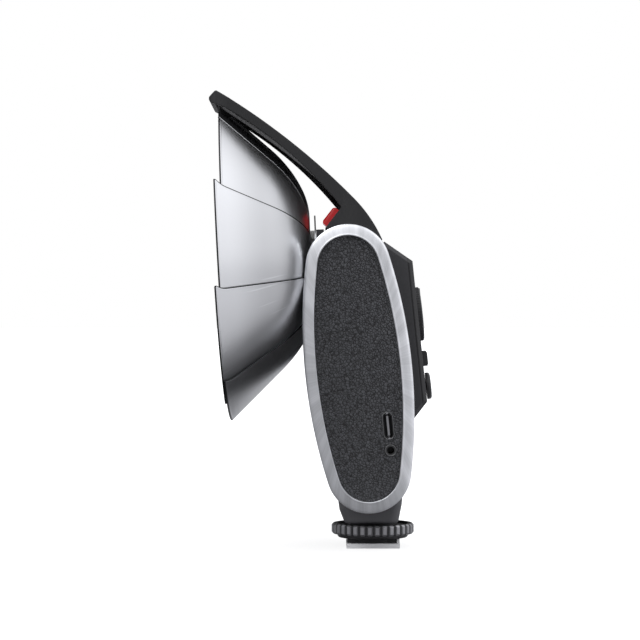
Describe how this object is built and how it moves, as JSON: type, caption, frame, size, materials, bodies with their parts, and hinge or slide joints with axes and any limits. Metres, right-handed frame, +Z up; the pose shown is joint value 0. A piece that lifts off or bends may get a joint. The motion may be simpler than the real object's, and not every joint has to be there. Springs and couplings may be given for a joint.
{
  "type": "camera flash",
  "caption": "Camera flash with a fan-folding round metal reflector, a cover arm, an oval side-panelled body and a shoe foot.",
  "frame": {"origin": "middle of the underside of the shoe foot", "axes": "+Z up, the reflector faces -Y, X across the body with the ports on the +X side"},
  "size_m": [0.1119, 0.0779, 0.1584],
  "materials": {
    "leaf_metal": "brushed",
    "hub_metal": "brushed",
    "ring_metal": "satin",
    "leatherette": "pebbled",
    "casing_plastic": "matt",
    "arm_plastic": "matt",
    "liner_plastic": "matt",
    "guard_plastic": "matt",
    "red_plastic": "satin",
    "knob_plastic": "matt",
    "lamp_plastic": "matt",
    "lens_glass": "clear",
    "tube_glass": "clear",
    "reflector_metal": "polished",
    "pin_steel": "plain",
    "foot_metal": "bright",
    "foot_plastic": "matt",
    "contact_brass": "plain",
    "insulator_plastic": "matt",
    "lock_metal": "black anodised",
    "socket_metal": "plain",
    "jack_metal": "dark",
    "board_laminate": "matt",
    "cell_wrap": "film",
    "capacitor_wrap": "film",
    "coil_copper": "enamelled"
  },
  "bodies": {
    "body": {"arm_pin": "pin_steel", "battery": "cell_wrap", "centre_contact": "contact_brass", "charge_transformer": "coil_copper", "contact_insulator": "insulator_plastic", "control_board": "board_laminate", "dial_encoder": "knob_plastic", "flash_tube": "tube_glass", "foot_block": "foot_plastic", "foot_plate": "foot_metal", "foot_screws": "pin_steel", "front_shell": "casing_plastic", "hub_disc": "hub_metal", "hub_nut": "hub_metal", "hub_tube": "hub_metal", "lamp_housing": "lamp_plastic", "lamp_lens": "lens_glass", "lamp_reflector": "reflector_metal", "leather_left": "leatherette", "leather_right": "leatherette", "main_board": "board_laminate", "main_capacitor": "capacitor_wrap", "neck": "casing_plastic", "rear_cover": "casing_plastic", "side_panel_left": "casing_plastic", "side_panel_right": "casing_plastic", "side_ring_left": "ring_metal", "side_ring_right": "ring_metal", "sync_jack": "jack_metal", "usb_socket": "socket_metal"},
    "fan_top": {"top_leaf": "leaf_metal", "guard_strip": "guard_plastic"},
    "arm": {"arm_shell": "arm_plastic", "arm_liner": "liner_plastic"},
    "red_button": {"red_button": "red_plastic"},
    "mode_dial": {"mode_dial": "knob_plastic"},
    "power_slider": {"power_slider": "knob_plastic"},
    "test_button": {"test_button": "knob_plastic"},
    "lock_washer": {"lock_washer": "lock_metal"},
    "lock_ring": {"lock_ring": "lock_metal"},
    "fan_right_1": {"leaf_right_1": "leaf_metal"},
    "fan_left_1": {"leaf_left_1": "leaf_metal"},
    "fan_right_2": {"leaf_right_2": "leaf_metal"},
    "fan_left_2": {"leaf_left_2": "leaf_metal"},
    "fan_right_3": {"leaf_right_3": "leaf_metal"},
    "fan_left_3": {"leaf_left_3": "leaf_metal"},
    "fan_right_4": {"leaf_right_4": "leaf_metal"},
    "fan_left_4": {"leaf_left_4": "leaf_metal"}
  },
  "joints": [
    {"name": "fan_fold", "type": "hinge", "parent": "body", "child": "fan_top", "pos_m": [0, -0.02145, 0.102], "axis": [0, 0.9993, 0.0384], "range_deg": [0, 180]},
    {"name": "fold_right_1", "type": "hinge", "parent": "body", "child": "fan_right_1", "pos_m": [0, -0.02145, 0.102], "axis": [0, 0.9993, 0.0384], "range_deg": [0, 140]},
    {"name": "fold_left_1", "type": "hinge", "parent": "body", "child": "fan_left_1", "pos_m": [0, -0.02145, 0.102], "axis": [0, 0.9993, 0.0384], "range_deg": [-140, 0]},
    {"name": "fold_right_2", "type": "hinge", "parent": "body", "child": "fan_right_2", "pos_m": [0, -0.02145, 0.102], "axis": [0, 0.9993, 0.0384], "range_deg": [0, 100]},
    {"name": "fold_left_2", "type": "hinge", "parent": "body", "child": "fan_left_2", "pos_m": [0, -0.02145, 0.102], "axis": [0, 0.9993, 0.0384], "range_deg": [-100, 0]},
    {"name": "fold_right_3", "type": "hinge", "parent": "body", "child": "fan_right_3", "pos_m": [0, -0.02145, 0.102], "axis": [0, 0.9993, 0.0384], "range_deg": [0, 60]},
    {"name": "fold_left_3", "type": "hinge", "parent": "body", "child": "fan_left_3", "pos_m": [0, -0.02145, 0.102], "axis": [0, 0.9993, 0.0384], "range_deg": [-60, 0]},
    {"name": "fold_right_4", "type": "hinge", "parent": "body", "child": "fan_right_4", "pos_m": [0, -0.02145, 0.102], "axis": [0, 0.9993, 0.0384], "range_deg": [0, 20]},
    {"name": "fold_left_4", "type": "hinge", "parent": "body", "child": "fan_left_4", "pos_m": [0, -0.02145, 0.102], "axis": [0, 0.9993, 0.0384], "range_deg": [-20, 0]},
    {"name": "arm_tilt", "type": "hinge", "parent": "body", "child": "arm", "pos_m": [0, -0.008, 0.1041], "axis": [-1, 0, 0], "range_deg": [0, 3]},
    {"name": "red_press", "type": "slide", "parent": "arm", "child": "red_button", "axis": [0, 0.7905, -0.6124], "range_m": [0, 0.0012], "stiffness_N_per_m": 500, "springref_m": -0.001},
    {"name": "dial_turn", "type": "hinge", "parent": "body", "child": "mode_dial", "pos_m": [0, 0.01523, 0.0815], "axis": [0, 0.9945, 0.1048], "range_deg": [-135, 135]},
    {"name": "power_slide", "type": "slide", "parent": "body", "child": "power_slider", "axis": [0, -0.1048, 0.9945], "range_m": [-0.0016, 0.0016]},
    {"name": "test_press", "type": "slide", "parent": "body", "child": "test_button", "axis": [0, -0.9945, -0.1048], "range_m": [0, 0.0008], "stiffness_N_per_m": 500, "springref_m": -0.001},
    {"name": "washer_slide", "type": "slide", "parent": "body", "child": "lock_washer", "axis": [0, 0, -1], "range_m": [0, 0.0005]},
    {"name": "ring_turn", "type": "hinge", "parent": "lock_washer", "child": "lock_ring", "pos_m": [0, 0, 0.006], "axis": [0, 0, -1], "range_deg": [0, 240]}
  ],
  "couplings": [
    {"joint": "fold_right_1", "follows": "fan_fold", "ratio": 0.77778},
    {"joint": "fold_left_1", "follows": "fan_fold", "ratio": -0.77778},
    {"joint": "fold_right_2", "follows": "fan_fold", "ratio": 0.55556},
    {"joint": "fold_left_2", "follows": "fan_fold", "ratio": -0.55556},
    {"joint": "fold_right_3", "follows": "fan_fold", "ratio": 0.33333},
    {"joint": "fold_left_3", "follows": "fan_fold", "ratio": -0.33333},
    {"joint": "fold_right_4", "follows": "fan_fold", "ratio": 0.11111},
    {"joint": "fold_left_4", "follows": "fan_fold", "ratio": -0.11111},
    {"joint": "ring_turn", "follows": "washer_slide", "rad_per_m": 8377.6}
  ]
}
